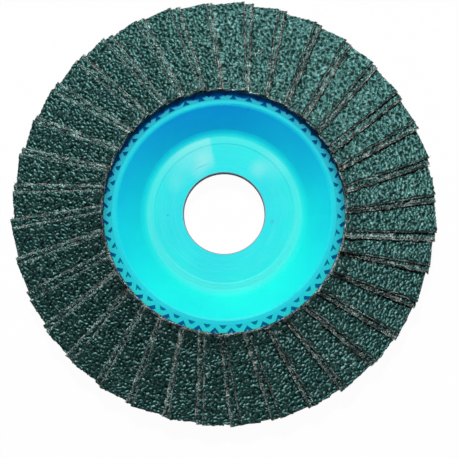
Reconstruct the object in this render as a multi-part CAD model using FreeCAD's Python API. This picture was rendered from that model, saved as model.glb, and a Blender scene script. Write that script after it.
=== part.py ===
# Flap disc for an angle grinder: a moulded plastic backing plate with a dished
# centre, a bed of cured resin on its flange, and a ring of abrasive cloth flaps.
# The flaps are laid two to a slot and lean on each other like shingles.
# Millimetres. The origin is the centre of the bore on the back face of the hub,
# +Z points out of the abrasive side, and +Y is the top of the picture.

import FreeCAD
import Part
import math
import os

# Hub of the backing plate
bore_diameter = 22.23
bore_edge_chamfer = 0.15
hub_thickness = 5.5
seat_diameter = 38.7
seat_depth = 0.08
seat_edge_width = 0.4
seat_rim_width = 2.8
boss_overlap = 2.95
boss_edge_chamfer = 0.8

# Dish that holds the clamping nut below the abrasive
dish_mouth_diameter = 58.1
dish_depth = 7.1
dish_wall = 2.8
dish_foot_round = 2.9
dish_mouth_round = 0.9

# Collar round the mouth of the dish: a plain lip and a zigzag rib outside it
lip_width = 1.45
collar_height = 5.35
rib_count = 45
rib_reach = 2.05
rib_height = 1.4
rib_width = 1.25
rib_node_width = 2.0
rib_root_cover = 0.65
first_rib_turn = 3.0

# Flange that carries the flaps
flange_width = 15.25
flange_thickness = 2.4
flange_edge_chamfer = 0.5
flange_drop_angle = 11.0

# Resin bed
bed_floor = 0.5
bed_edge_inset = 0.5
bed_inner_clearance = 0.1

# Abrasive flaps, two to a slot
slot_count = 36
flap_overhang = 10.35
flap_cover = 15.5
flap_end_skew = 0.85
flap_thickness = 0.8
flap_clearance = 0.05
flap_collar_clearance = 0.25
free_edge_offset = 5.4
second_flap_turn = 2.3
first_free_edge_turn = 3.9

axis = FreeCAD.Vector(0, 0, 1)
origin = FreeCAD.Vector(0, 0, 0)

# Radii, levels and slopes of the plate that follow from the sizes above
bore_radius = bore_diameter / 2
seat_radius = seat_diameter / 2
seat_level = hub_thickness - seat_depth
dish_foot_radius = seat_radius + seat_rim_width
dish_mouth_radius = dish_mouth_diameter / 2
boss_radius = seat_radius + boss_overlap
lip_level = hub_thickness + dish_depth
lip_radius = dish_mouth_radius + lip_width
dish_slope = dish_depth / (dish_mouth_radius - dish_foot_radius)
collar_radius = lip_radius + rib_reach
rib_foot_level = lip_level - rib_height
flange_radius = collar_radius + flange_width
flange_slope = math.tan(math.radians(flange_drop_angle))

# Place of a flap in its slot, seen from above. The free edge runs straight out from
# the collar to the rim, past the disc's centre at its offset, and is the longer one.
slot_pitch = 360 / slot_count
flap_inner_end = collar_radius + flap_collar_clearance
flap_outer_end = flange_radius + flap_overhang
glued_edge_offset = free_edge_offset - flap_cover
first_free_corner_turn = math.degrees(math.atan2(free_edge_offset, flap_outer_end))
first_slot_turn = first_free_edge_turn - first_free_corner_turn


def floor_level(radius):
    """Height of the flange's front face, which falls away from the collar to the rim."""
    return lip_level - collar_height - (radius - collar_radius) * flange_slope


# Two neighbouring corners never take more than the wall between them
corner_share = 0.45


def turned(corners):
    """Ring turned from a closed profile of (radius, height, finish, size) corners."""
    points = [FreeCAD.Vector(radius, 0, height) for radius, height, _, _ in corners]
    edges = []
    ends = []
    for place, (_, _, finish, size) in enumerate(corners):
        corner = points[place]
        before = points[place - 1] - corner
        after = points[(place + 1) % len(points)] - corner
        half_angle = before.getAngle(after) / 2
        setback = corner_share * min(before.Length, after.Length)
        if finish == "round":
            setback = min(setback, size / math.tan(half_angle))
        else:
            setback = min(setback, size)
        before.normalize()
        after.normalize()
        start = corner + before * setback
        end = corner + after * setback
        if finish == "round":
            bisector = (before + after).normalize()
            depth = setback * (1 - math.sin(half_angle)) / math.cos(half_angle)
            edges.append(Part.Arc(start, corner + bisector * depth, end).toShape())
        elif finish == "chamfer":
            edges.append(Part.makeLine(start, end))
        ends.append((start, end))
    for place, (_, end) in enumerate(ends):
        edges.append(Part.makeLine(end, ends[(place + 1) % len(ends)][0]))
    profile = Part.Face(Part.Wire(Part.__sortEdges__(edges)))
    return profile.revolve(origin, axis, 360)


def turned_plate():
    """Hub, dish, solid collar and flange of the moulding, turned in one profile."""
    # The back of the dish runs parallel to its front, one wall away, and
    # stops where it meets the back of the flange.
    wall_shift = dish_wall / math.sin(math.atan(dish_slope))
    back_foot_level = hub_thickness - (dish_foot_radius + wall_shift - boss_radius) * dish_slope
    flange_back_at_boss = floor_level(boss_radius) - flange_thickness
    run_to_root = (flange_back_at_boss - back_foot_level) / (dish_slope + flange_slope)
    root_radius = boss_radius + run_to_root
    root_level = back_foot_level + run_to_root * dish_slope
    rim_level = floor_level(flange_radius)
    return turned([
        (bore_radius, seat_level, "chamfer", bore_edge_chamfer),
        (seat_radius - seat_edge_width, seat_level, "sharp", 0),
        (seat_radius, hub_thickness, "sharp", 0),
        (dish_foot_radius, hub_thickness, "round", dish_foot_round),
        (dish_mouth_radius, lip_level, "round", dish_mouth_round),
        (collar_radius, lip_level, "sharp", 0),
        (collar_radius, floor_level(collar_radius), "sharp", 0),
        (flange_radius, rim_level, "chamfer", flange_edge_chamfer),
        (flange_radius, rim_level - flange_thickness, "chamfer", flange_edge_chamfer),
        (root_radius, root_level, "sharp", 0),
        (boss_radius, back_foot_level, "sharp", 0),
        (boss_radius, 0, "chamfer", boss_edge_chamfer),
        (bore_radius, 0, "sharp", 0),
    ])


def upright_prism(plan_points, low, high):
    """Prism over a closed outline given as (x, y) points."""
    outline = [FreeCAD.Vector(x, y, low) for x, y in plan_points]
    face = Part.Face(Part.makePolygon(outline + outline[:1]))
    return face.extrude(axis * (high - low))


def polar(radius, turn):
    """Point at a radius and a clockwise turn, in degrees, from the top of the disc."""
    return radius * math.sin(math.radians(turn)), radius * math.cos(math.radians(turn))


def rib_pockets():
    """Pockets sunk into the collar on both sides of the rib that zigzags round it.

    Each plan is drawn at the top of the disc. The notches open outward between two
    nodes of the rib. The small pockets lie inside its folds, against the lip.
    """
    half_pitch = 180 / rib_count
    half_node_turn = math.degrees(math.asin(rib_node_width / 2 / collar_radius))
    notch_root = lip_radius + rib_root_cover
    corner_x, corner_y = polar(collar_radius, half_pitch - half_node_turn)
    run_out = corner_y - notch_root
    notch = [
        (0, notch_root),
        (2 * corner_x, notch_root + 2 * run_out),
        (-2 * corner_x, notch_root + 2 * run_out),
    ]
    root_x, root_y = polar(notch_root, half_pitch)
    node_x, node_y = polar(collar_radius, half_node_turn)
    half_fold_angle = math.atan2(root_x - node_x, node_y - root_y)
    outer_fold = root_y + root_x / math.tan(half_fold_angle)
    inner_fold = outer_fold - rib_width / math.sin(half_fold_angle)
    half_base = (inner_fold - lip_radius) * math.tan(half_fold_angle)
    pocket = [(-half_base, lip_radius), (0, inner_fold), (half_base, lip_radius)]
    cuts = []
    for plan, first_turn in ((pocket, first_rib_turn), (notch, first_rib_turn + half_pitch)):
        prism = upright_prism(plan, rib_foot_level, lip_level)
        for number in range(rib_count):
            cut = prism.copy()
            cut.rotate(origin, axis, -(first_turn + 2 * half_pitch * number))
            cuts.append(cut)
    return cuts


def backing_plate():
    return turned_plate().cut(rib_pockets())


def cloth_lean(neighbour_turn, stack):
    """Rise of the cloth per millimetre across it that stacks this many flaps per turn.

    Each flap is a flat sheet that falls to the rim with the flange. A turn about
    the disc's axis lifts it least at its inner end on its glued edge, so the lean
    is set there: turn_chord * (lean * reach - flange_slope * back) is the lift, and
    it has to equal the upright thickness of the stack of cloth.
    """
    half_turn = math.radians(neighbour_turn / 2)
    turn_chord = 2 * math.sin(half_turn)
    back = -glued_edge_offset / math.cos(half_turn) - flap_inner_end * math.tan(half_turn)
    lift = turn_chord * flap_inner_end / stack
    fixed_rise = flap_clearance + turn_chord * flange_slope * back / stack
    flat = flap_thickness ** 2 * (1 + flange_slope ** 2)
    room = lift ** 2 - flap_thickness ** 2
    spread = (lift * fixed_rise) ** 2 - room * (fixed_rise ** 2 - flat)
    return (lift * fixed_rise + math.sqrt(spread)) / room


# Two sheets of cloth are stacked in each slot, the second turned on and lower
lean = cloth_lean(slot_pitch, 2)
upright_thickness = flap_thickness * math.sqrt(1 + lean ** 2 + flange_slope ** 2)
second_half_turn = math.radians(second_flap_turn / 2)
second_back = -glued_edge_offset - flap_inner_end * math.tan(second_half_turn)
second_lift = 2 * math.sin(second_half_turn) * (lean * flap_inner_end - flange_slope * second_back)
first_flap_lift = upright_thickness + flap_clearance - second_lift


def slot_flaps(number, height):
    """The two sheets of one slot, each raised by this height from its under face."""
    sheets = []
    for lift, turn in ((first_flap_lift, 0), (0, second_flap_turn)):
        corners = []
        for reach, across in (
            (flap_inner_end, glued_edge_offset),
            (flap_outer_end - flap_end_skew, glued_edge_offset),
            (flap_outer_end, free_edge_offset),
            (flap_inner_end, free_edge_offset),
        ):
            level = floor_level(reach) + bed_floor + lift + lean * (across - glued_edge_offset)
            corners.append(FreeCAD.Vector(across, reach, level))
        sheet = Part.Face(Part.makePolygon(corners + corners[:1])).extrude(axis * height)
        sheet.rotate(origin, axis, -(first_slot_turn + slot_pitch * number + turn))
        sheets.append(sheet)
    return sheets


def resin_bed():
    """Ring of resin on the flange, stepped where each flap's under face lies in it."""
    inner_radius = math.hypot(flap_inner_end, glued_edge_offset) + bed_inner_clearance
    outer_radius = flange_radius - bed_edge_inset
    ring = turned([
        (inner_radius, floor_level(inner_radius), "sharp", 0),
        (outer_radius, floor_level(outer_radius), "sharp", 0),
        (outer_radius, lip_level, "sharp", 0),
        (inner_radius, lip_level, "sharp", 0),
    ])
    # All that stands above the under face of any flap is clear of resin.
    clear = []
    for number in range(slot_count):
        clear.extend(slot_flaps(number, lip_level))
    return ring.cut(clear)


def save(name, shape):
    shape.exportStep(os.path.join("parts", name + ".step"))


os.makedirs("parts", exist_ok=True)
save("backing_plate", backing_plate())
save("resin_bed", resin_bed())
for number in range(slot_count):
    pair = Part.makeCompound(slot_flaps(number, upright_thickness))
    save("flap_pair_%02d" % (number + 1), pair)
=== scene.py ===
import math
from types import SimpleNamespace

import bpy
import numpy as np
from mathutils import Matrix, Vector


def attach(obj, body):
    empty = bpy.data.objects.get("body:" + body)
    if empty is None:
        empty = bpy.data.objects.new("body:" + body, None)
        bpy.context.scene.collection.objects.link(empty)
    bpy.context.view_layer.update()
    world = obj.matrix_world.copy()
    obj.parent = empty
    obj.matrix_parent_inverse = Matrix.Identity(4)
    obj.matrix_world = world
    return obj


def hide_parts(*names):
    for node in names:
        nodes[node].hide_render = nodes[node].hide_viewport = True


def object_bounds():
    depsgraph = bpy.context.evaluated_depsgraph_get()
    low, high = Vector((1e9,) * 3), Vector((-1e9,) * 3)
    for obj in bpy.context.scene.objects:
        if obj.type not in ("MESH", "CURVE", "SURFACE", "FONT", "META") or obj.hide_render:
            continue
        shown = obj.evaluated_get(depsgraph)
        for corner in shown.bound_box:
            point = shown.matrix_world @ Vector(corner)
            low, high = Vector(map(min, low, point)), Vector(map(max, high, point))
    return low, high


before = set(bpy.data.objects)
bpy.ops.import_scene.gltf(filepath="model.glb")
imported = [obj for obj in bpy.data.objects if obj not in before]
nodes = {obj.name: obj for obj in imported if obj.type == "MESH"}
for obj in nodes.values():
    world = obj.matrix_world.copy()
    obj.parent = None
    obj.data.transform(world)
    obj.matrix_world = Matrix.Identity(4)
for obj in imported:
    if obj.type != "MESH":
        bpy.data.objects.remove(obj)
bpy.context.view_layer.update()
collection = bpy.context.scene.collection
mm = 0.001

# Backing plate. One injection moulding in glossy cyan nylon, used as it leaves the mould:
# hub, dish and zigzag rib. It has a painted blue glow in the shade, and its bore wall is
# painted grey-blue shade. Handling has left haze, specks and a scratch; the haze carries painted
# highlights.
plate = nodes["backing_plate"]
plate_colour = (0.008, 0.860, 0.340, 1.0)
haze_and_sheen_colour = (0.360, 0.930, 0.700, 1.0)
speck_colour = (0.060, 0.360, 0.200, 1.0)
# Painted grey-blue shade for the bore wall
bore_painted_shade = (0.300, 0.290, 0.360, 1.0)
# Painted glow: emission colours that stand in for the blue of the plastic in the shade
painted_plate_glow = (0.0, 0.004, 0.500, 1.0)
painted_rib_glow = (0.0, 0.085, 0.420, 1.0)

# The lip and the rib are darkened with painted shade. The rib has a painted shadow of the flaps
# beside them at the top of the disc, and painted light, palest, at the bottom.
lip_painted_shade = (0.90, 0.86, 0.93, 1.0)
rib_painted_shade = (0.85, 0.54, 0.72, 1.0)
rib_painted_light = (1.0, 0.80, 1.0, 1.0)
rib_shade = (0.40, 0.27, 0.66, 1.0)

# Spans over which one look passes into the next: radii, and one from bottom to top
bore_wall = (11.36 * mm, 11.27 * mm)
fan_highlight_inside = (11.5 * mm, 17.5 * mm)
seat_edge = (18.95 * mm, 19.35 * mm)
hub_edge = (21.6 * mm, 20.9 * mm)
lip_start = (28.9 * mm, 29.5 * mm)
rib_start = (30.0 * mm, 30.4 * mm)
rib_shadow = (30.8 * mm, 32.2 * mm)
bottom_to_top = (-25.0 * mm, 25.0 * mm)

# A painted highlight lies in a fan across the hub: a sharp edge on one side, fading away on the other.
fan_highlight_sharp_side = (math.radians(101), math.radians(104))
fan_highlight_soft_side = (math.radians(158), math.radians(112))
fan_highlight_strength = 0.42

# Painted highlight spots, and specks: where in millimetres, their reach in millimetres, and how strong
painted_highlight_spots = (
    ((-5.8, 14.2, 5.4), 3.8, 0.40),
    ((-7.2, 11.2, 5.4), 3.2, 0.30),
    ((9.0, 12.4, 5.4), 3.6, 0.36),
    ((12.8, 13.6, 5.4), 6.5, 0.18),
    ((-13.6, 8.0, 5.4), 4.0, 0.16),
)
specks = (
    ((-15.4, -0.9, 5.4), 0.60, 0.7),
    ((-10.5, -23.8, 8.2), 0.65, 1.0),
    ((5.9, 28.2, 12.0), 0.70, 0.8),
    ((13.2, -1.9, 5.4), 0.90, 0.35),
)
scratch_radius = 14.3 * mm
scratch_width = 0.16 * mm
scratch_middle = (-6.6, 12.6, 5.4)
scratch_reach = 3.2
scratch_strength = 0.7


class Finish:
    """A procedural material in the making. Its helpers take sockets or plain values."""

    def __init__(self, name):
        self.material = bpy.data.materials.new(name)
        self.material.use_nodes = True
        self.tree = self.material.node_tree
        self.shader = self.tree.nodes["Principled BSDF"]
        self.place = self.node("NewGeometry").outputs["Position"]

    def node(self, kind):
        return self.tree.nodes.new("ShaderNode" + kind)

    def join(self, value, socket):
        """Feed a socket from another one, or set it to a value."""
        if hasattr(value, "is_output"):
            self.tree.links.new(value, socket)
        else:
            socket.default_value = value

    def look(self, name, value):
        """Give one of the shader's inputs its value, or what feeds it."""
        self.join(value, self.shader.inputs[name])

    def noise(self, scale, detail=3.0, roughness=0.5, over=None):
        """Noise from 0 to 1 over the place on the surface, or over another vector."""
        node = self.node("TexNoise")
        node.inputs["Scale"].default_value = scale
        node.inputs["Detail"].default_value = detail
        node.inputs["Roughness"].default_value = roughness
        self.join(self.place if over is None else over, node.inputs["Vector"])
        return node.outputs["Fac"]

    def ramp(self, source, *stops):
        """Colour ramp through (value, colour) stops; a plain number is a grey."""
        node = self.node("ValToRGB")
        band = node.color_ramp
        while len(band.elements) < len(stops):
            band.elements.new(0.5)
        for element, (value, colour) in zip(band.elements, stops):
            element.position = value
            element.color = colour if isinstance(colour, tuple) else (colour, colour, colour, 1.0)
        self.join(source, node.inputs["Fac"])
        return node.outputs["Color"]

    def mixed(self, share, first, second, blend="MIX"):
        """Two colours mixed by a share of the second."""
        node = self.node("Mix")
        node.data_type = "RGBA"
        node.blend_type = blend
        self.join(share, node.inputs[0])
        self.join(first, node.inputs[6])
        self.join(second, node.inputs[7])
        return node.outputs[2]

    def tinted(self, colour, tint):
        """A colour multiplied by another."""
        return self.mixed(1.0, colour, tint, "MULTIPLY")

    def maths(self, operation, first, second=0.0):
        node = self.node("Math")
        node.operation = operation
        self.join(first, node.inputs[0])
        self.join(second, node.inputs[1])
        return node.outputs[0]

    def plus(self, first, second):
        return self.maths("ADD", first, second)

    def times(self, first, *others):
        """Product of two or more values."""
        for other in others:
            first = self.maths("MULTIPLY", first, other)
        return first

    def without(self, share):
        """What a share leaves of 1."""
        return self.maths("SUBTRACT", 1.0, share)

    def rise(self, value, span):
        """Smooth rise from 0 to 1 of a value, from the first to the second end of a span."""
        node = self.node("MapRange")
        node.interpolation_type = "SMOOTHSTEP"
        node.inputs["From Min"].default_value = span[0]
        node.inputs["From Max"].default_value = span[1]
        self.join(value, node.inputs["Value"])
        return node.outputs["Result"]

    def near(self, spot, reach):
        """Share that is 1 at a spot and falls smoothly to 0 at its reach, in millimetres."""
        node = self.node("VectorMath")
        node.operation = "DISTANCE"
        self.join(self.place, node.inputs[0])
        node.inputs[1].default_value = [value * mm for value in spot]
        return self.rise(node.outputs["Value"], (reach * mm, 0.0))

    def bump(self, height, strength, distance):
        node = self.node("Bump")
        node.inputs["Strength"].default_value = strength
        node.inputs["Distance"].default_value = distance
        self.join(height, node.inputs["Height"])
        self.look("Normal", node.outputs["Normal"])


nylon = Finish("cyan_moulded_nylon")
position = nylon.node("SeparateXYZ")
nylon.join(nylon.place, position.inputs[0])
right = position.outputs["X"]
up = position.outputs["Y"]
radius = nylon.maths("SQRT", nylon.plus(nylon.times(right, right), nylon.times(up, up)))
turn = nylon.maths("ARCTAN2", up, right)

# Faint rings left by the tool that turned the mould, about half a millimetre apart
rings_per_metre = 2200.0
ring_wander = 1.6
ring_place = nylon.node("CombineXYZ")
nylon.join(nylon.times(radius, rings_per_metre), ring_place.inputs["X"])
nylon.join(nylon.times(turn, ring_wander), ring_place.inputs["Y"])
rings = nylon.noise(1.0, 4.0, 0.6, over=ring_place.outputs[0])

# Pale haze on the hub, in its rings and outside the nut's seat, and painted highlights in the fan and
# spots
seat_haze = 0.10
most_haze = 0.8
on_hub = nylon.rise(radius, hub_edge)
haze_and_sheen = nylon.times(on_hub, nylon.ramp(rings, (0.40, 0.02), (0.75, 0.14)))
haze_and_sheen = nylon.plus(haze_and_sheen, nylon.times(nylon.rise(radius, seat_edge), seat_haze, on_hub))
# The fan and the spots are painted highlights.
painted_fan_highlight = nylon.times(nylon.rise(turn, fan_highlight_sharp_side), nylon.rise(turn, fan_highlight_soft_side))
painted_fan_highlight = nylon.times(painted_fan_highlight, nylon.rise(radius, fan_highlight_inside), on_hub, fan_highlight_strength)
haze_and_sheen = nylon.plus(haze_and_sheen, painted_fan_highlight)
for spot, reach, strength in painted_highlight_spots:
    haze_and_sheen = nylon.plus(haze_and_sheen, nylon.times(nylon.near(spot, reach), strength, on_hub))

# The cyan with its haze and painted highlights, scratch and specks, painted shade on the lip and rib,
# painted grey-blue shade in the bore
cyan = nylon.tinted(plate_colour, nylon.ramp(nylon.noise(70.0), (0.35, 0.93), (0.70, 1.03)))
cyan = nylon.mixed(nylon.maths("MINIMUM", haze_and_sheen, most_haze), cyan, haze_and_sheen_colour)
from_scratch = nylon.maths("ABSOLUTE", nylon.maths("SUBTRACT", radius, scratch_radius))
scratch = nylon.rise(from_scratch, (scratch_width, 0.0))
scratch = nylon.times(scratch, nylon.near(scratch_middle, scratch_reach), scratch_strength)
cyan = nylon.mixed(scratch, cyan, speck_colour)
for spot, reach, strength in specks:
    cyan = nylon.mixed(nylon.times(nylon.near(spot, reach), strength), cyan, speck_colour)
cyan = nylon.mixed(nylon.rise(radius, lip_start), cyan, nylon.tinted(cyan, lip_painted_shade))
on_rib = nylon.rise(radius, rib_start)
# Painted light and shade on the rib: lighter towards the bottom, and a painted shadow of the flaps at the
# top
top_side = nylon.rise(up, bottom_to_top)
in_shadow = nylon.times(top_side, nylon.rise(radius, rib_shadow))
rib_light_and_shade = nylon.mixed(in_shadow, nylon.mixed(top_side, rib_painted_light, rib_painted_shade), rib_shade)
cyan = nylon.mixed(on_rib, cyan, nylon.tinted(cyan, rib_light_and_shade))
# The bore wall and its edge are painted grey-blue, as shade.
in_bore = nylon.rise(radius, bore_wall)
nylon.look("Base Color", nylon.mixed(in_bore, cyan, bore_painted_shade))
nylon.look("Roughness", nylon.ramp(rings, (0.30, 0.50), (0.75, 0.62)))
nylon.look("Specular IOR Level", 0.25)

# The blue glow is painted light, an emission for the plastic's shaded faces. It is cut by painted shade in
# corners, under the haze and in the rib's painted shadow, and is none in the bore.
painted_glow_reach = 10 * mm
openness = nylon.node("AmbientOcclusion")
openness.inputs["Distance"].default_value = painted_glow_reach
painted_open_glow = nylon.maths("POWER", openness.outputs["AO"], 0.8)
painted_glow = nylon.maths("MAXIMUM", painted_open_glow, nylon.times(on_rib, 0.50))
less_glow = nylon.maths("MAXIMUM", in_bore, nylon.times(haze_and_sheen, 0.6))
painted_glow = nylon.times(painted_glow, nylon.without(less_glow), nylon.without(nylon.times(in_shadow, 0.80)))
nylon.look("Emission Color", nylon.mixed(on_rib, painted_plate_glow, painted_rib_glow))
nylon.look("Emission Strength", painted_glow)
nylon.bump(nylon.plus(rings, nylon.times(nylon.noise(900.0), 0.5)), 0.08, 0.05 * mm)
plate.data.materials.clear()
plate.data.materials.append(nylon.material)

# Resin bed. It is the ring of brown resin poured on the flange; the flaps are pushed
# into it and it cures hard and slightly glossy, with small bubbles and flow marks.
resin = nodes["resin_bed"]
resin_dark = (0.060, 0.026, 0.012, 1.0)
resin_light = (0.200, 0.095, 0.040, 1.0)
bubbles_per_metre = 1100.0
cured = Finish("cured_brown_resin")
cured.look("Base Color", cured.ramp(cured.noise(260.0, 5.0, 0.6), (0.30, resin_dark), (0.75, resin_light)))
cured.look("Roughness", 0.38)
bubbles = cured.node("TexVoronoi")
bubbles.inputs["Scale"].default_value = bubbles_per_metre
cured.join(cured.place, bubbles.inputs["Vector"])
cured.bump(bubbles.outputs["Distance"], 0.35, 0.2 * mm)
resin.data.materials.clear()
resin.data.materials.append(cured.material)

# Abrasive flaps. Each is a cut of stiff cotton cloth with coarse green-black grit bonded
# to its upper face; 72 are glued round the plate, two to a slot. The grit has crumbled
# off along the cut edges, where the pale and rusty yarn of the cloth frays.
slot_step = math.radians(10)
grain_pitch = 0.60 * mm
grain_spread = 0.46
grain_fill = 1.9
grain_bow = (3.1 * mm, 2.3 * mm)
gap_height = 0.21
crest_height = 0.71
pit_depth = 0.55 * mm
row_step = 0.175 * mm
coarse_columns = 4

# What shows of the two flaps of a slot and how they lie. The first lies on the second and
# hides all of it but a narrow strip. A swing above 0 makes the worn edge wider on the
# right of the disc, and one below 0 on the left.
first_flap = SimpleNamespace(
    seen_at_hub=5.0 * mm,
    seen_at_rim=8.9 * mm,
    fine_columns=40,
    bare_edge=0.68 * mm,
    bare_swing=-0.3,
    droop=0.0,
    shift=(-0.2 * mm, 0.2 * mm),
)
second_flap = SimpleNamespace(
    seen_at_hub=1.8 * mm,
    seen_at_rim=3.3 * mm,
    fine_columns=14,
    bare_edge=1.7 * mm,
    bare_swing=0.35,
    droop=0.25 * mm,
    shift=(-0.4 * mm, 0.9 * mm),
)

# How far hand laying leaves the free edges out of line
slot_scatter = 0.30 * mm
slot_drift = 0.75 * mm
most_slot_shift = 0.9 * mm
hub_share_of_shift = 0.57
edge_knots = 30
edge_wander = 0.10 * mm
edge_twist = 0.7 * mm

# How the cloth bends: down at its free corner at the rim, and up at its inner end
rim_sag = 1.7 * mm
droop_width = 4.0 * mm
inner_lift = 1.2 * mm
lift_length = 5.0 * mm

# How the cut edges are worn and ragged
rim_scatter = 0.45 * mm
rim_tooth = 0.45 * mm
ragged_length = 1.2 * mm
inner_reach = 0.18 * mm
edge_drop = 0.74 * mm
edge_round = 0.60 * mm
bare_ends = 0.50 * mm
wear_patch = 0.9 * mm
cut_roughness = 0.05 * mm
thinnest_cloth = 0.06 * mm

# Places of the finishes in a flap's list
on_grit = 0
on_cloth = 1
on_yarn = 2

# Every random draw comes from one seeded source, so each run gives the same disc.
chance = np.random.default_rng(72)


def flap_sheets(node):
    """The two sheets of a slot, each as its upper corners and its upright thickness.

    The corners run inner free, outer free, outer glued, inner glued.
    """
    # Seen from above, the pair has eight corners, each with an upper and a lower point.
    points = np.array([vertex.co for vertex in node.data.vertices])
    plan, owner = np.unique(np.round(points[:, :2], 6), axis=0, return_inverse=True)
    owner = owner.ravel()
    top = np.array([points[owner == i, 2].max() for i in range(len(plan))])
    low = np.array([points[owner == i, 2].min() for i in range(len(plan))])
    middle = plan.mean(axis=0)
    out = middle / np.hypot(*middle)
    clockwise = np.array([out[1], -out[0]])
    order = np.argsort(np.arctan2(plan @ clockwise, plan @ out))
    far = np.hypot(plan[:, 0], plan[:, 1]) > np.hypot(*middle)
    inner = [i for i in order if not far[i]]
    outer = [i for i in order if far[i]]
    sheets = []
    for flap in (0, 1):
        ring = [inner[flap + 2], outer[flap + 2], outer[flap], inner[flap]]
        corners = np.column_stack([plan[ring], top[ring]])
        sheets.append((corners, float(np.mean(top[ring] - low[ring]))))
    return sheets


def patches(length, patch):
    """Places along a length and a random share from 0 to 1 at each, to draw a line through."""
    knots = max(4, int(length / patch))
    return np.linspace(0, length, knots), chance.random(knots)


def laid_sheet(corners, laying, shift):
    """Grid of points over a flap's upper face, as it was laid by hand.

    Returns the points, and for each how far it lies along and across the cloth.
    """
    free_in, free_out, glued_out, glued_in = corners
    length = np.linalg.norm(free_out - free_in)
    glued_length = np.linalg.norm(glued_out - glued_in)
    width = np.linalg.norm(glued_in - free_in)
    rows = int(length / row_step) + 1
    share = np.linspace(0, 1 - rim_scatter * chance.random() / length, rows)[:, None]
    # The free edge is moved along its own sheet, so it never meets another.
    knots = np.linspace(0, length, edge_knots)
    wander = np.interp(share * length, knots, chance.normal(0, edge_wander, edge_knots))
    moved = shift * (hub_share_of_shift + (1 - hub_share_of_shift) * share)
    edge = moved + wander + chance.uniform(-edge_twist, edge_twist) * (share - 0.5)
    seen = laying.seen_at_hub + (laying.seen_at_rim - laying.seen_at_hub) * share
    fine = edge + seen * np.linspace(0, 1, laying.fine_columns + 1)
    hidden = fine[:, -1:] + (width - fine[:, -1:]) * np.linspace(0, 1, coarse_columns + 1)[1:]
    across = np.hstack([fine, hidden])
    share = np.broadcast_to(share, across.shape)
    reach = length + (glued_length - length) * across / width
    teeth = np.interp(across, *patches(width, rim_tooth)) * rim_scatter
    near_rim = np.clip((share * length - length + ragged_length) / ragged_length, 0, 1)
    outward = share * reach - teeth * near_rim - inner_reach * (1 - share)
    run = (free_out - free_in) / length
    back = (glued_in - free_in) / width
    points = free_in + run * outward[..., None] + back * across[..., None]
    points[..., 2] -= rim_sag * share * (1 - np.clip(across / width, 0, 1))
    points[..., 2] -= laying.droop * share * np.clip(1 - across / droop_width, 0, 1)
    points[..., 2] += inner_lift * np.clip(1 - share * length / lift_length, 0, 1) ** 1.5
    return points, share * length, across


def grains(along, across):
    """Height, tone and crest of the grit on a sheet, from 0 to 1; the crest is 0 in the gaps."""
    # One grain to a cell of a bowed grid; a margin of 3 cells keeps their numbers above 0.
    bow = 0.5 * np.sin(along / grain_bow[0] + chance.uniform(0, 6))
    bow = bow + 0.4 * np.sin(across / grain_bow[1] + chance.uniform(0, 6))
    x = along / grain_pitch + bow + 3.0
    y = (across - across.min()) / grain_pitch + 0.6 * np.sin(x * 0.9) + 3.0
    cells = (int(x.max()) + 3, int(y.max()) + 3)
    jitter = 0.02 + 0.96 * chance.random(cells + (2,))
    crown = 0.45 + 0.55 * chance.random(cells)
    grain_tone = 0.5 * crown + 0.5 * chance.random(cells)
    nearest = np.full(x.shape, 9.0)
    mound = np.zeros(x.shape)
    tone = np.zeros(x.shape)
    for step_x in (-1, 0, 1):
        for step_y in (-1, 0, 1):
            i = np.floor(x).astype(int) + step_x
            j = np.floor(y).astype(int) + step_y
            distance = np.hypot(x - i - jitter[i, j, 0], y - j - jitter[i, j, 1])
            mound += crown[i, j] * np.exp(-((distance / grain_spread) ** 2))
            tone = np.where(distance < nearest, grain_tone[i, j], tone)
            nearest = np.minimum(nearest, distance)
    height = 1 - np.exp(-grain_fill * mound)
    crest = np.clip((height - gap_height) / (crest_height - gap_height), 0, 1)
    return height, tone, crest


def bareness(along, across, corners, bare_edge):
    """Share of bare cloth, from 0 to 1: patches along the free edge and both ends."""
    free_in, free_out, _, glued_in = corners
    length = np.linalg.norm(free_out - free_in)
    width = np.linalg.norm(glued_in - free_in)
    from_edge = across - across[:, :1]
    from_ends = np.minimum(along, along.max() - along)
    edge_reach = bare_edge * (0.30 + 0.70 * np.interp(along, *patches(length, wear_patch)))
    end_reach = bare_ends * np.interp(from_edge, *patches(width, wear_patch))
    at_hub = along < length / 2
    end_reach = np.where(at_hub, end_reach + 0.25 * mm, 0.4 * end_reach + 0.02 * mm)
    worn_edge = np.clip(1.25 - 1.25 * from_edge / edge_reach, 0, 1)
    worn_ends = np.clip(1.4 - 1.4 * from_ends / end_reach, 0, 1)
    worn = np.maximum(worn_edge, worn_ends)
    return np.clip((worn - 0.85 * chance.random(across.shape)) / 0.25, 0, 1)


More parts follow.
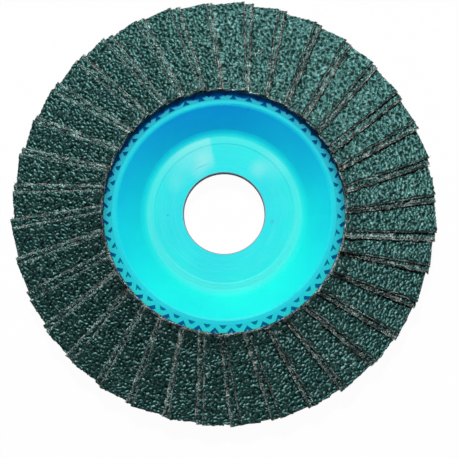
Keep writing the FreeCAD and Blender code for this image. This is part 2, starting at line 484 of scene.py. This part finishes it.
def closed_sheet(top, under):
    """Vertices, faces and finish numbers of the cloth between an upper and an under face."""
    rows, columns = top.shape[:2]
    upper = top.reshape(-1, 3)
    rim = np.concatenate([
        np.arange(rows) * columns,
        (rows - 1) * columns + np.arange(1, columns),
        np.arange(rows - 2, -1, -1) * columns + columns - 1,
        np.arange(columns - 2, 0, -1),
    ])
    lower = under.reshape(-1, 3)[rim]
    middle = (upper[rim] + lower) / 2 + chance.normal(0, cut_roughness, lower.shape)
    first_middle = len(upper)
    first_lower = first_middle + len(rim)
    corner = np.arange((rows - 1) * columns).reshape(rows - 1, columns)[:, :-1].ravel()
    faces = np.stack([corner, corner + 1, corner + columns + 1, corner + columns], 1).tolist()
    finish = [on_grit] * len(faces)
    for i in range(len(rim)):
        j = (i + 1) % len(rim)
        faces.append((rim[i], rim[j], first_middle + j, first_middle + i))
        faces.append((first_middle + i, first_middle + j, first_lower + j, first_lower + i))
    # The under face is one strip of quads between the free edge and the glued edge.
    glued_end = first_lower + rows - 1 + columns - 1 + rows - 1
    for i in range(rows - 1):
        faces.append((first_lower + i, first_lower + i + 1, glued_end - i - 1, glued_end - i))
    finish += [on_cloth] * (len(faces) - len(finish))
    return np.concatenate([upper, middle, lower]), faces, finish


def flap_mesh(corners, thickness, laying, bare_edge, shift):
    """Vertices, faces, finish numbers and grain marks of one flap."""
    top, along, across = laid_sheet(corners, laying, shift)
    under = top - (0, 0, thickness)
    height, tone, crest = grains(along, across)
    bare = bareness(along, across, corners, bare_edge)
    # Pits between the grains, uneven yarn where it is bare, and the rounded free edge
    yarn_depth = 0.10 * mm + 0.35 * mm * chance.random(across.shape)
    depth = pit_depth * (1 - height) * (1 - bare) + bare * yarn_depth
    depth = depth + edge_drop * np.clip(1 - (across - across[:, :1]) / edge_round, 0, 1)
    top[..., 2] -= np.minimum(depth, thickness - thinnest_cloth)
    vertices, faces, finish = closed_sheet(top, under)
    marks = np.tile((0.0, 0.0, 0.0, 1.0), (len(vertices), 1))
    for channel, values in enumerate((tone, crest, bare)):
        marks[:values.size, channel] = values.ravel()
    return vertices, faces, finish, marks


def yarn_tube(points, thick, sides):
    """Thin closed tube along points; returns vertices and faces."""
    ahead = np.gradient(points, axis=0)
    ahead /= np.linalg.norm(ahead, axis=1)[:, None]
    side = np.cross(ahead, (0.0, 0.0, 1.0))
    side /= np.maximum(np.linalg.norm(side, axis=1), 1e-9)[:, None]
    upright = np.cross(side, ahead)
    taper = np.full(len(points), thick)
    taper[[0, -1]] *= 0.5
    around = (np.arange(sides) * math.tau / sides)[None, :, None]
    ring = np.cos(around) * side[:, None] + np.sin(around) * upright[:, None]
    vertices = points[:, None] + taper[:, None, None] * ring
    faces = []
    for i in range(len(points) - 1):
        for k in range(sides):
            n = (k + 1) % sides
            faces.append((i * sides + k, i * sides + n, (i + 1) * sides + n, (i + 1) * sides + k))
    faces.append(tuple(range(sides - 1, -1, -1)))
    faces.append(tuple((len(points) - 1) * sides + k for k in range(sides)))
    return vertices.reshape(-1, 3), faces


# A crumb is an uneven lump between six tips: +x, +y, +z, -x, -y and -z. It is as dusty as
# the yarn and takes the same finish.
crumb_faces = ((0, 1, 2), (1, 3, 2), (3, 4, 2), (4, 0, 2), (1, 0, 5), (3, 1, 5), (4, 3, 5), (0, 4, 5))


class Heap:
    """Meshes gathered for one object, with their finish numbers and grain marks."""

    def __init__(self):
        self.vertices = []
        self.faces = []
        self.finish = []
        self.marks = []
        self.count = 0

    def gather(self, vertices, faces, finish, marks):
        self.vertices.append(vertices)
        self.faces += [[int(i) + self.count for i in face] for face in faces]
        self.finish += finish
        self.marks.append(marks)
        self.count += len(vertices)

    def gather_yarn(self, points, thick, sides, tone):
        vertices, faces = yarn_tube(points, thick, sides)
        marks = np.tile((tone, 1.0, 0.0, 1.0), (len(vertices), 1))
        self.gather(vertices, faces, [on_yarn] * len(faces), marks)

    def gather_crumb(self, spot, size):
        tips = np.concatenate([np.eye(3), -np.eye(3)]) * chance.uniform(0.5, 1.2, (6, 1)) * size
        marks = np.tile((chance.random(), 1.0, 0.0, 1.0), (len(tips), 1))
        self.gather(spot + tips, crumb_faces, [on_yarn] * len(crumb_faces), marks)

    def made(self, name, *finishes):
        """Object made of all that was gathered. Only the flaps' upper faces are shaded smooth."""
        mesh = bpy.data.meshes.new(name)
        mesh.from_pydata(np.concatenate(self.vertices), [], self.faces)
        # A thread has the yarn's finish alone, so its numbers stop at the end of the list.
        last = len(finishes) - 1
        mesh.polygons.foreach_set("material_index", [min(number, last) for number in self.finish])
        mesh.polygons.foreach_set("use_smooth", [number == on_grit for number in self.finish])
        grain_layer = mesh.color_attributes.new("grain", "FLOAT_COLOR", "POINT")
        grain_layer.data.foreach_set("color", np.concatenate(self.marks).astype(np.float32).ravel())
        for finish in finishes:
            mesh.materials.append(finish.material)
        piece = bpy.data.objects.new(name, mesh)
        collection.objects.link(piece)
        return piece


# What hangs from the free edge and the inner end of each flap
yarn_length = (1.2 * mm, 3.5 * mm)
yarn_spacing = (1.0 * mm, 6.0 * mm)
yarn_thick = (0.05 * mm, 0.11 * mm)
fibre_count = 50
fibre_length = 0.7 * mm
fibre_thick = (0.035 * mm, 0.07 * mm)
crumb_count = 90
crumb_size = (0.10 * mm, 0.22 * mm)
inner_end_count = 26
inner_end_width = 8.0 * mm
inner_end_length = 0.8 * mm
inner_end_thick = (0.05 * mm, 0.10 * mm)


def edge_litter(heap, corners, thickness, shift, crumb_reach):
    """Loose yarn, short fibres and crumbs of grit along the free edge and the inner end."""
    free_in, free_out, _, glued_in = corners
    length = np.linalg.norm(free_out - free_in)
    back = (glued_in - free_in) / np.linalg.norm(glued_in - free_in)
    edge_start = free_in + back * (hub_share_of_shift * shift)
    edge_end = free_out + back * shift - (0, 0, rim_sag)
    run = (edge_end - edge_start) / length
    inner_end = edge_start + (0, 0, inner_lift)
    # Yarn pulled loose in stretches along the free edge
    start = chance.uniform(0.0, 1.0) * mm
    while start < length - 1.8 * mm:
        stretch = min(chance.uniform(*yarn_length), length - start - 0.5 * mm)
        steps = max(3, int(stretch / (0.5 * mm)))
        along = start + np.linspace(0, stretch, steps)
        across = np.cumsum(chance.normal(0, 0.06 * mm, steps)) + chance.uniform(-0.12, 0.30) * mm
        drop = np.cumsum(chance.normal(0, 0.05 * mm, steps)) + chance.uniform(0.25, 0.60) * thickness
        points = edge_start + run * along[:, None]
        points = points + back * np.clip(across, -0.25 * mm, 0.6 * mm)[:, None]
        points[:, 2] -= np.clip(drop, 0.06 * mm, 0.8 * thickness)
        heap.gather_yarn(points, chance.uniform(*yarn_thick), 4, chance.random())
        start += stretch + chance.uniform(*yarn_spacing)
    # Short fibres that stand off the edge
    for _ in range(fibre_count):
        spot = edge_start + run * chance.random() * (length - 0.6 * mm)
        spot = spot + back * chance.uniform(-0.15, 0.55) * mm
        spot = spot - (0, 0, chance.uniform(0.12, 0.50) * mm)
        aim = run * chance.normal(0, 0.6) + back * chance.normal(-0.1, 0.45)
        aim = aim + (0, 0, chance.normal(0, 0.15))
        bend = chance.normal(0, 0.15, 3)
        points = np.array([spot, spot + aim * fibre_length / 2, spot + (aim + bend) * fibre_length])
        heap.gather_yarn(points, chance.uniform(*fibre_thick), 3, chance.random())
    # Crumbs of grit that cling to the bare cloth
    for _ in range(crumb_count):
        spot = edge_start + run * chance.random() * (length - 0.5 * mm)
        spot = spot + back * chance.uniform(-0.1, 1.0) ** 2 * crumb_reach
        spot = spot - (0, 0, chance.uniform(0.15, 0.55) * mm)
        heap.gather_crumb(spot, chance.uniform(*crumb_size))
    # Cut ends of yarn along the inner end
    for _ in range(inner_end_count):
        spot = inner_end + back * chance.random() * inner_end_width
        spot = spot + run * chance.uniform(-0.05, 0.45) * mm
        spot = spot - (0, 0, chance.uniform(0.08, 0.35) * mm)
        aim = back * chance.normal(0, 0.8) + run * chance.normal(0, 0.12)
        aim = aim + (0, 0, chance.normal(0, 0.08))
        points = np.array([spot, spot + aim * inner_end_length / 2, spot + aim * inner_end_length])
        heap.gather_yarn(points, chance.uniform(*inner_end_thick), 3, chance.random() * 0.8)


# Colours of the grit, from the gaps between its grains to the few pale ones that are painted glints,
# with its green lustre, and of the cloth that shows where the grit has worn off
grit_gap = (0.002, 0.009, 0.008, 1.0)
grit_dark = (0.001, 0.006, 0.006, 1.0)
grit_mid = (0.001, 0.010, 0.009, 1.0)
grit_pale = (0.007, 0.028, 0.026, 1.0)
grit_painted_glint = (0.220, 0.350, 0.330, 1.0)
grit_lustre = (0.392, 1.0, 0.932, 1.0)
cloth_brown = (0.027, 0.039, 0.036, 1.0)
cloth_grey = (0.188, 0.270, 0.254, 1.0)
cloth_pale = (0.575, 0.710, 0.668, 1.0)
cloth_rust = (0.360, 0.245, 0.220, 1.0)


def grain_marks(finish):
    """Tone, crest and bareness that the mesh carries, as the outputs of a node."""
    layer = finish.node("Attribute")
    layer.attribute_name = "grain"
    channels = finish.node("SeparateColor")
    finish.join(layer.outputs["Color"], channels.inputs[0])
    return channels.outputs


def cloth_colour(finish, tone):
    """Yarn from brown to pale by its tone, with soil and rusty flecks over it."""
    colour = finish.ramp(tone, (0.10, cloth_brown), (0.42, cloth_grey), (0.80, cloth_pale))
    soil = finish.ramp(finish.noise(420.0, 2.0), (0.40, 0.25), (0.60, 1.10))
    flecks = finish.rise(finish.noise(1500.0, 2.0), (0.48, 0.66))
    fleck_patches = finish.rise(finish.noise(190.0, 2.0), (0.54, 0.70))
    rusty = finish.times(flecks, fleck_patches)
    return finish.mixed(rusty, finish.tinted(colour, soil), cloth_rust)


# The upper face: grit, and bare cloth where the mesh says that the grit is gone
grit = Finish("green_black_grit")
tone, crest, bare = grain_marks(grit)
crumbs = grit.noise(2600.0, 3.0, 0.7)
# The palest grains are painted glints.
green = grit.ramp(tone, (0.0, grit_dark), (0.40, grit_mid), (0.80, grit_pale), (0.89, grit_painted_glint))
green = grit.tinted(green, grit.ramp(crumbs, (0.30, 0.60), (0.68, 1.30)))
green = grit.mixed(grit.rise(crest, (0.0, 0.50)), grit_gap, green)
shreds = grit.rise(grit.noise(2400.0, 2.0), (0.34, 0.66))
grit.look("Base Color", grit.mixed(bare, green, cloth_colour(grit, shreds)))
grit.look("Roughness", 0.50)
grit.look("IOR", 1.76)
grit.look("Specular Tint", grit_lustre)
gloss = grit.maths("MAXIMUM", grit.rise(crest, (-0.05, 0.40)), 0.15)
grit.look("Specular IOR Level", grit.times(grit.without(bare), gloss))
grit.bump(crumbs, 0.7, 0.09 * mm)

# The plain cloth of the cut edges and the under face
weave_pitch = 0.45 * mm
cloth = Finish("backing_cloth")
fibres = cloth.rise(cloth.noise(2400.0, 2.0), (0.30, 0.70))
cloth.look("Base Color", cloth_colour(cloth, fibres))
cloth.look("Roughness", 0.85)
weave = cloth.node("TexChecker")
weave.inputs["Scale"].default_value = 1 / weave_pitch
cloth.join(cloth.place, weave.inputs["Vector"])
cloth.bump(cloth.plus(weave.outputs["Fac"], fibres), 0.5, 0.15 * mm)

# The yarn that frays from the edges, and the crumbs that cling there
yarn = Finish("frayed_yarn")
yarn_soil = yarn.ramp(yarn.noise(900.0), (0.35, 0.55), (0.62, 1.10))
yarn.look("Base Color", yarn.tinted(cloth_colour(yarn, grain_marks(yarn)["Red"]), yarn_soil))
yarn.look("Roughness", 0.8)

# One piece for each slot, in place of the plain pair of flaps. The free edges stand
# further back on the right of the disc, and each is a little out of line.
flap_pieces = []
for name in sorted(n for n in nodes if n.startswith("flap_pair_")):
    heap = Heap()
    slot_turn = slot_step * int(name[-2:])
    slot_shift = slot_drift * math.sin(slot_turn) + chance.normal(0, slot_scatter)
    slot_shift = min(max(slot_shift, -most_slot_shift), most_slot_shift)
    for (corners, thickness), laying in zip(flap_sheets(nodes[name]), (first_flap, second_flap)):
        shift = slot_shift + chance.uniform(*laying.shift)
        bare_edge = laying.bare_edge * (1 + laying.bare_swing * math.sin(slot_turn))
        heap.gather(*flap_mesh(corners, thickness, laying, bare_edge, shift))
        edge_litter(heap, corners, thickness, shift, bare_edge)
    flaps = heap.made(name.replace("pair", "cloth"), grit, cloth, yarn)
    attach(flaps, "root")
    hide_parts(name)
    flap_pieces.append(flaps)

# Loose threads. Two pale yarns of the cloth have been pulled out and lie on the grit.
# The upper one forks, so three paths, in millimetres across and up the disc, make them.
thread_paths = (
    ((5.9, 44.6), (7.2, 43.4), (8.6, 43.5), (9.8, 44.4)),
    ((7.1, 42.3), (7.6, 43.4), (8.9, 44.6)),
    ((40.6, -20.9), (42.4, -20.3), (44.4, -20.9), (46.2, -20.2), (47.6, -20.7)),
)
thread_thick = 0.10 * mm
thread_lift = 0.12 * mm
thread_wander = 0.07 * mm
thread_support = 0.4 * mm
flap_points = np.array([vertex.co for flaps in flap_pieces for vertex in flaps.data.vertices])
for number, path in enumerate(thread_paths, 1):
    bends = np.array(path) * mm
    steps = np.linspace(0, len(bends) - 1, 4 * len(bends))
    plan = np.column_stack([np.interp(steps, range(len(bends)), bends[:, axis]) for axis in (0, 1)])
    plan += chance.normal(0, thread_wander, plan.shape)
    level = []
    for spot in plan:
        under_thread = np.hypot(*(flap_points[:, :2] - spot).T) < thread_support
        level.append(flap_points[under_thread, 2].max() + thread_lift)
    heap = Heap()
    heap.gather_yarn(np.column_stack([plan, level]), thread_thick, 5, 0.95)
    thread = heap.made("loose_thread_%d" % number, yarn)
    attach(thread, "root")

# Floor. A wide pale sheet that the disc lies on by the back of its hub. It shows white to
# the camera, so only a faint shadow is left.
floor_half = 1.5
floor_gap = 0.02 * mm
floor_colour = (0.86, 0.86, 0.86, 1.0)
floor_white = 0.97


def show_to_camera(tree, real, shown, share, output):
    """Let the camera see a share of another shader than the one that lights the disc."""
    rays = tree.nodes.new("ShaderNodeLightPath")
    seen = tree.nodes.new("ShaderNodeMath")
    seen.operation = "MULTIPLY"
    seen.inputs[1].default_value = share
    blend = tree.nodes.new("ShaderNodeMixShader")
    tree.links.new(rays.outputs["Is Camera Ray"], seen.inputs[0])
    tree.links.new(seen.outputs[0], blend.inputs[0])
    tree.links.new(real.outputs[0], blend.inputs[1])
    tree.links.new(shown.outputs[0], blend.inputs[2])
    tree.links.new(blend.outputs[0], tree.nodes[output].inputs["Surface"])


floor_corners = [
    (-floor_half, -floor_half, 0),
    (floor_half, -floor_half, 0),
    (floor_half, floor_half, 0),
    (-floor_half, floor_half, 0),
]
floor_mesh = bpy.data.meshes.new("floor")
floor_mesh.from_pydata(floor_corners, [], [(0, 1, 2, 3)])
floor = bpy.data.objects.new("floor", floor_mesh)
collection.objects.link(floor)
floor.location.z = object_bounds()[0][2] - floor_gap
floor_finish = bpy.data.materials.new("pale_floor")
floor_finish.use_nodes = True
floor_tree = floor_finish.node_tree
matt = floor_tree.nodes["Principled BSDF"]
matt.inputs["Base Color"].default_value = floor_colour
matt.inputs["Roughness"].default_value = 0.9
white = floor_tree.nodes.new("ShaderNodeEmission")
show_to_camera(floor_tree, matt, white, floor_white, "Material Output")
floor_mesh.materials.append(floor_finish)

# Light. One soft lamp beyond the top of the disc and a little to its left, low enough to
# rake over the grit and throw the short shadow of the flaps on the rib, and a dim even
# sky, in whose place the camera sees a pale backdrop.
sky_colour = (0.88, 0.94, 1.0, 1.0)
sky_strength = 0.04
backdrop_colour = (0.97, 0.97, 0.97, 1.0)
lamp_turn = math.radians(-8)
lamp_height = math.radians(54)
lamp_distance = 1.2
lamp_size = 0.16
lamp_power = 14.6
lamp_aim = Vector((0, 0, 8 * mm))
lamp = bpy.data.lights.new("key", "AREA")
lamp.shape = "DISK"
lamp.size = lamp_size
lamp.energy = lamp_power
toward_lamp = Vector((
    math.sin(lamp_turn) * math.cos(lamp_height),
    math.cos(lamp_turn) * math.cos(lamp_height),
    math.sin(lamp_height),
))
key = bpy.data.objects.new("key", lamp)
key.location = lamp_aim + toward_lamp * lamp_distance
key.rotation_euler = toward_lamp.to_track_quat("Z", "Y").to_euler()
collection.objects.link(key)
sky = bpy.data.worlds.new("sky")
sky.use_nodes = True
sky_tree = sky.node_tree
dim = sky_tree.nodes["Background"]
dim.inputs["Color"].default_value = sky_colour
dim.inputs["Strength"].default_value = sky_strength
backdrop = sky_tree.nodes.new("ShaderNodeBackground")
backdrop.inputs["Color"].default_value = backdrop_colour
show_to_camera(sky_tree, dim, backdrop, 1.0, "World Output")
bpy.context.scene.world = sky

# Camera. It looks almost straight down from a little below the middle of the picture; the
# disc stands slightly left of and above the middle of the frame.
camera_place = (2 * mm, -26 * mm, 480 * mm)
camera_aim = Vector((1.43 * mm, -4.45 * mm, 9.8 * mm))
camera_lens = bpy.data.cameras.new("camera")
camera_lens.lens = 136.6
camera_lens.sensor_width = 36.0
camera_lens.clip_start = 0.01
camera = bpy.data.objects.new("camera", camera_lens)
camera.location = camera_place
camera.rotation_euler = (camera.location - camera_aim).to_track_quat("Z", "Y").to_euler()
collection.objects.link(camera)
bpy.context.scene.camera = camera
bpy.context.scene.view_settings.view_transform = "Standard"
